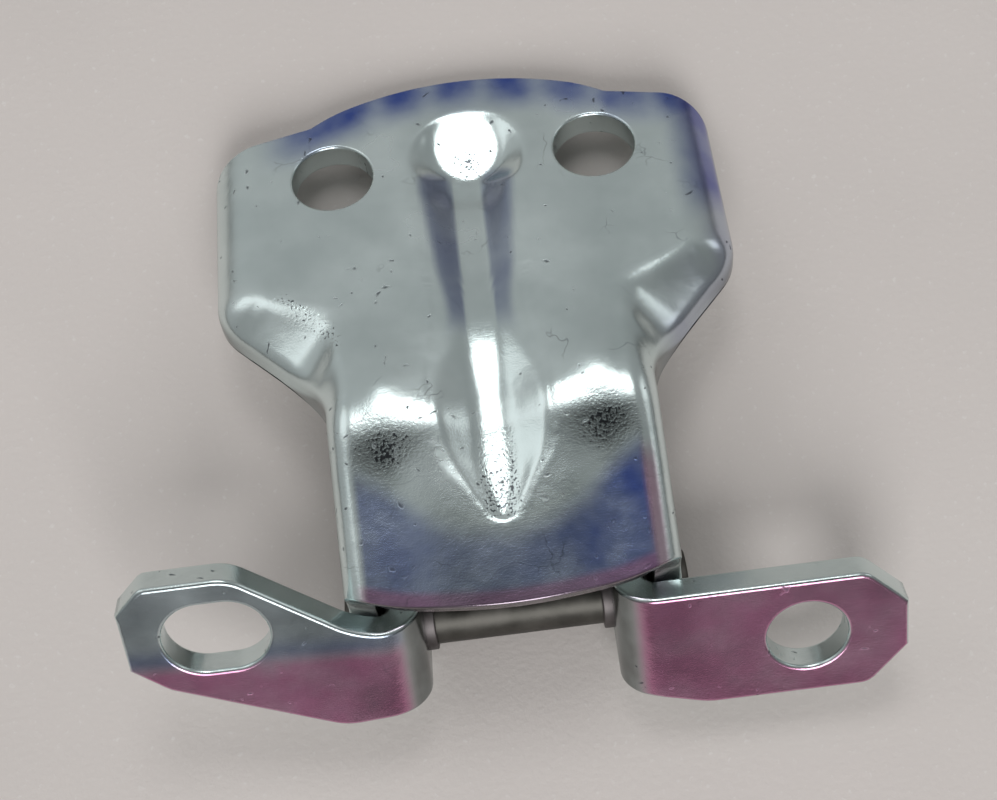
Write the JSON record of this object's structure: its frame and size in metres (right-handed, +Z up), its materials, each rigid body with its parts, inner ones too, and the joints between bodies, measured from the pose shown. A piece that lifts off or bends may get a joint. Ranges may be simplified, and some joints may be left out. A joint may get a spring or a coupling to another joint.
{
  "type": "car door hinge",
  "caption": "Pressed steel door hinge: a wide flanged leaf with bolt holes and a sunk groove, pinned to a bracket with outward tabs, one holed and one slotted.",
  "frame": {"origin": "middle of the footprint, on the surface that the hinge lies on", "axes": "+X along the pin to the straight tab, +Y from the pin to the leaf's far edge, +Z up"},
  "size_m": [0.112, 0.1046, 0.0313],
  "materials": {
    "leaf_zinc": "bright zinc plating",
    "bracket_zinc": "bright zinc plating",
    "pin_steel": "drawn steel",
    "bush_bronze": "dull bearing bronze"
  },
  "bodies": {
    "leaf": {"main_leaf": "leaf_zinc", "pin": "pin_steel"},
    "bracket": {"bracket": "bracket_zinc", "bush_left": "bush_bronze", "bush_right": "bush_bronze"}
  },
  "joints": [
    {"name": "door_swing", "type": "hinge", "parent": "leaf", "child": "bracket", "pos_m": [0, -0.03433, 0.0072], "axis": [1, 0, 0], "range_deg": [-3, 67]}
  ]
}
